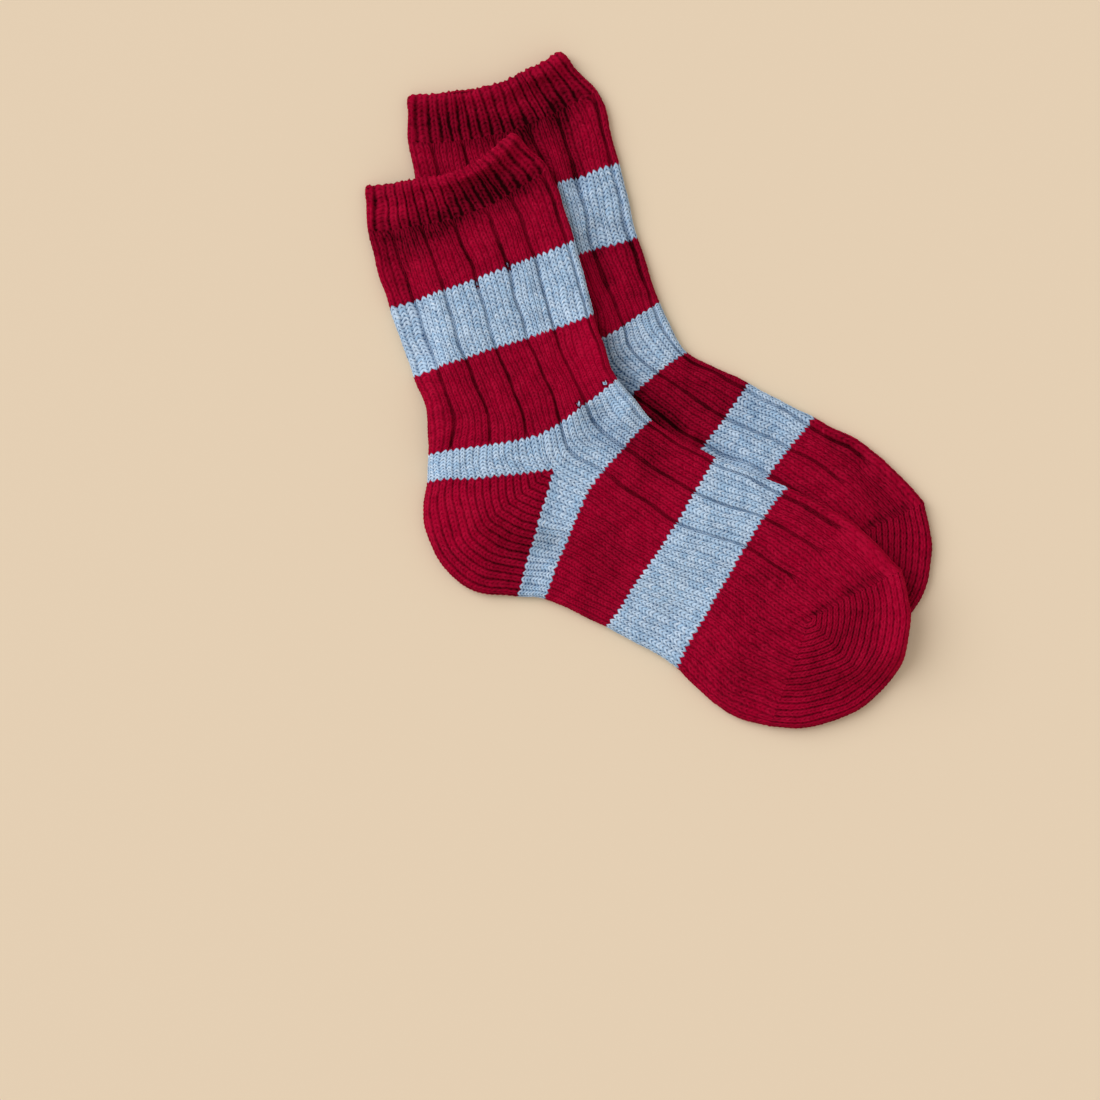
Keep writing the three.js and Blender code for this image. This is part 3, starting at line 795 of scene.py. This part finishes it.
for sock in SOCKS:
    wale, course = tube_grid(WELT_COURSE, HEEL_COURSE)
    across = np.where(wale <= WALES_SHOWN, wale, WALES_ROUND - wale)
    rib_end = np.where(across <= WALES_TO_MIDDLE, PAST_THE_LEG, BACK_RIB_END)
    start = smooth(WELT_COURSE, WELT_COURSE + 2, course)
    ribbed = start * (1 - smooth(rib_end - 1.5, rib_end + 1.5, course))
    points, crease_shade_and_fold_highlight = tube_points(sock, LEG, wale, course, ribbed)
    relief = stitch_relief(wale, course) + rib_relief(wale, course, rib_end)
    relief = relief * start + (1 - start) * welt_relief(wale, course)
    relief = relief * np.where(wale <= WALES_SHOWN, 1, UNDER_RELIEF)
    phase = course - STITCH_SLANT * stitch_edge(wale)
    stripe = bands(phase, LEG_BANDS)
    # painted shade in the rib's gutters and below the welt, and in the loose stitches' holes, plus the
    # creases' painted shade and the folds' painted highlight
    gutter = rib_share(wale, course, rib_end) * start
    painted_light_and_shade = np.maximum(gutter, 0.7 * welt_shade(sock, wale, course))
    if sock is UPPER:
        stripe, hole = loosened(wale, phase, stripe)
        painted_light_and_shade = np.maximum(painted_light_and_shade, hole)
    painted_light_and_shade = painted_light_and_shade + crease_shade_and_fold_highlight
    piece = knit_cloth("leg_" + sock["name"], points, relief, np.stack([wale, course], -1),
                       stripe, painted_light_and_shade, closed=True)
    finish_piece(piece, sock)


# Heel pocket: plain crimson knit in short rows, from the heel line to the suture and
# out again to the sole, so its wales turn round the corner of the ankle.
# the outline's point where it turns, its short rows each way and its relief in mm, then, for both
# pockets, rows of points for each course and how much shade is painted on the lines between wales
HEEL_SUTURE = 3
HEEL_SHORT_ROWS = 20
HEEL_RELIEF = 0.6
POCKET_ROWS = 4
POCKET_LINE_SHADE = 0.34
# where the cuff's gape and rise have ended, so that the pockets take none of them
PAST_THE_CUFF = 90


def pocket_rays(outline, suture, shares):
    """Points at shares of the way round a pocket, on its outline, whose point number suture
    is the turn, and on two straight lines that meet in that turn."""
    outline = np.array(outline)
    knots = [{"course": i, "at": p} for i, p in enumerate(outline)]
    last = len(outline) - 1
    at = np.where(shares < 0.5, shares * 2 * suture, suture + (shares * 2 - 1) * (last - suture))
    edge = along(knots, "at", at)
    first = outline[0] + (outline[suture] - outline[0]) * (shares * 2)[:, None]
    second = outline[suture] + (outline[-1] - outline[suture]) * (shares * 2 - 1)[:, None]
    return edge, np.where((shares < 0.5)[:, None], first, second)


def pocket(sock, corner, outline, suture, sharpness, courses, start, end, depth):
    """The grid of a pocket whose wales turn round its corner, from the start course and
    back to the end course, with as many short rows each way as courses says."""
    shares = np.linspace(0, 1, 2 * courses * POCKET_ROWS + 1)
    edge, sharp = pocket_rays(outline, suture, shares)
    top = WALES_TO_MIDDLE - np.arange(0, WALES_TO_MIDDLE * FINE_COLUMNS + 1) / FINE_COLUMNS
    under = np.arange(1, WALES_TO_MIDDLE * UNDER_COLUMNS + 1) / UNDER_COLUMNS
    wales = np.concatenate([top, under])
    is_top = np.arange(len(wales)) < len(top)
    share = inset_share(wales)[None, :, None]
    reach = edge[:, None] + (sharp - edge)[:, None] * share * sharpness
    plan = reach + (np.array(corner) - reach) * share
    wale = np.broadcast_to(wales, plan.shape[:2])
    across = np.full(wale.shape, WALES_SHOWN)
    past = np.full(wale.shape, PAST_THE_CUFF)
    points = layer(sock, plan, wale, across, past, np.broadcast_to(is_top, wale.shape))
    scale = 1 - share[..., 0]
    before = (shares < 0.5)[:, None]
    course = np.where(before, start + shares[:, None] * 2 * courses * scale,
                      end - (1 - shares[:, None]) * 2 * courses * scale)
    relief = stitch_relief(wale, course, depth) * np.where(is_top, 1, UNDER_RELIEF)
    # painted shade on the lines between wales, plus the creases' painted shade and the folds' painted
    # highlight on the side that shows
    painted_light_and_shade = POCKET_LINE_SHADE * smooth(0.45, 1, stitch_edge(wale)) + dent_shade(sock, plan) * is_top
    return points, wale, course, relief, before, painted_light_and_shade


for sock in SOCKS:
    points, wale, course, relief, before, painted_light_and_shade = pocket(
        sock, (0, 0), HEEL_OUTLINE, HEEL_SUTURE, 1.0, HEEL_SHORT_ROWS,
        HEEL_COURSE, HEEL_COURSE, HEEL_RELIEF)
    phase = course - STITCH_SLANT * stitch_edge(wale)
    stripe = np.where(before, HEEL_COURSE - phase, -9.0)
    piece = knit_cloth("heel_" + sock["name"], points, relief, np.stack([wale, course], -1),
                       stripe, painted_light_and_shade, closed=False)
    finish_piece(piece, sock)


# Foot: the same tube from the ankle to the toe, ribbed on the instep and plain on the
# sole, with the rest of the ankle's band and one light-blue band across.
# courses where the instep's rib and the bands end, or start and end. The sole has no rib.
INSTEP_RIB_END = 138
NO_RIB = -9
ANKLE_BAND_END = 86
FOOT_BANDS = [(107, 125)]
SEAM_DEPTH = 0.5


def toe_seam(wale, course):
    """How dark and deep the seam that closes the toe is, more where its stitches open."""
    opened = 0.35 + 0.35 * smooth(0.2, 0.9, np.sin(1.9 * wale + 2) * np.sin(0.83 * wale))
    return np.exp(-(((course - TOE_COURSE + 0.7) / 0.7) ** 2)) * opened * smooth(1, 3, wale)


for sock in SOCKS:
    wale, course = tube_grid(HEEL_COURSE, TOE_COURSE)
    across = np.where(wale <= WALES_SHOWN, wale, WALES_ROUND - wale)
    instep = across <= WALES_TO_MIDDLE
    rib_end = np.where(instep, INSTEP_RIB_END, NO_RIB)
    ribbed = 1 - smooth(rib_end - 1.5, rib_end + 1.5, course)
    points, crease_shade_and_fold_highlight = tube_points(sock, FOOT, wale, course, ribbed)
    seam = toe_seam(wale, course) * instep * (wale <= WALES_SHOWN)
    relief = stitch_relief(wale, course) + rib_relief(wale, course, rib_end) - SEAM_DEPTH * seam
    relief = relief * np.where(wale <= WALES_SHOWN, 1, UNDER_RELIEF)
    phase = course - STITCH_SLANT * stitch_edge(wale)
    ankle = ANKLE_BAND_END - phase
    ankle = np.where(instep, ankle, np.minimum(ankle, phase - HEEL_COURSE))
    stripe = np.maximum(ankle, bands(phase, FOOT_BANDS))
    # painted shade in the instep's gutters, the toe seam's own dark, plus the creases' painted shade
    # and the folds' painted highlight
    painted_light_and_shade = np.maximum(0.8 * rib_share(wale, course, rib_end), seam) + crease_shade_and_fold_highlight
    piece = knit_cloth("foot_" + sock["name"], points, relief, np.stack([wale, course], -1),
                       stripe, painted_light_and_shade, closed=True)
    finish_piece(piece, sock)


# Toe pocket: plain crimson knit in short rows like the heel, turned at the tip of the toe
# and closed on the instep by the linked seam.
# as for the heel, then how sharply its inner wales turn and the course at its other end
TOE_SUTURE = 4
TOE_SHORT_ROWS = 26
TOE_RELIEF = 0.45
TOE_SHARPNESS = 0.75
TOE_LAST_COURSE = 200
for sock in SOCKS:
    points, wale, course, relief, before, painted_light_and_shade = pocket(
        sock, FOOT[-1]["middle"], TOE_OUTLINE, TOE_SUTURE, TOE_SHARPNESS, TOE_SHORT_ROWS,
        TOE_COURSE, TOE_LAST_COURSE, TOE_RELIEF)
    piece = knit_cloth("toe_" + sock["name"], points, relief, np.stack([wale, course], -1),
                       np.full(wale.shape, -9.0), painted_light_and_shade, closed=False)
    finish_piece(piece, sock)


# Floor: a plain pale matt paper, no part of the socks. It lies just under them, so that
# the two never share a plane.
FLOOR_COLOUR = "#E3CFB4"
FLOOR_SIZE = 6.0
FLOOR_HEIGHT = -0.0002


def floor_material():
    material = bpy.data.materials.new("plain_pale_matt_paper")
    material.use_nodes = True
    tree = material.node_tree
    tree.nodes.clear()
    shader = node(tree, "BsdfPrincipled", {}, {"Base Color": linear(FLOOR_COLOUR), "Roughness": 0.9})
    node(tree, "OutputMaterial", {}, {"Surface": shader.outputs["BSDF"]})
    return material


def floor(size, z):
    mesh = bpy.data.meshes.new("floor")
    half = size / 2
    mesh.from_pydata([(-half, -half, z), (half, -half, z), (half, half, z), (-half, half, z)], [],
                     [(0, 1, 2, 3)])
    piece = bpy.data.objects.new("floor", mesh)
    bpy.context.collection.objects.link(piece)
    piece.data.materials.append(floor_material())


floor(FLOOR_SIZE, FLOOR_HEIGHT)


# Light: one large soft source, a little cool, from the left and a little above in the
# picture, and a pale sky, a little warm, all round. Bearing, height and spread are in degrees.
KEY_BEARING = 150
KEY_HEIGHT = 38
KEY_SPREAD = 50
KEY_STRENGTH = 2.15
KEY_COLOUR = "#F4F8FF"
SKY_STRENGTH = 0.63
SKY_COLOUR = "#FFF9F0"
key = bpy.data.lights.new("key", "SUN")
key.energy = KEY_STRENGTH
key.color = linear(KEY_COLOUR)[:3]
key.angle = math.radians(KEY_SPREAD)
lamp = bpy.data.objects.new("key", key)
lamp.rotation_euler = (math.radians(90 - KEY_HEIGHT), 0, math.radians(KEY_BEARING + 90))
bpy.context.collection.objects.link(lamp)
world = bpy.data.worlds.new("studio")
bpy.context.scene.world = world
world.use_nodes = True
world.node_tree.nodes["Background"].inputs["Color"].default_value = linear(SKY_COLOUR)
world.node_tree.nodes["Background"].inputs["Strength"].default_value = SKY_STRENGTH


# Camera: straight above, as in the photograph, over the middle of its frame. Each of its
# pixels is PIXEL mm wide at the height EYE_LIFT on the socks, in mm, and the frame's origin
# is at the pixel PAIR_MIDDLE.
PIXEL = 0.44
FRAME_PIXELS = 1100
PAIR_MIDDLE = (648.5, 389)
EYE_LIFT = 6
LENS = 85
SENSOR = 36
camera = bpy.data.objects.new("camera", bpy.data.cameras.new("camera"))
camera.data.lens = LENS
camera.data.sensor_width = SENSOR
width = FRAME_PIXELS * PIXEL * MM
centre_x = (FRAME_PIXELS / 2 - PAIR_MIDDLE[0]) * PIXEL * MM
centre_y = (PAIR_MIDDLE[1] - FRAME_PIXELS / 2) * PIXEL * MM
camera.location = (centre_x, centre_y, width * LENS / SENSOR + EYE_LIFT * MM)
bpy.context.collection.objects.link(camera)
bpy.context.scene.camera = camera
bpy.context.scene.view_settings.view_transform = "Standard"
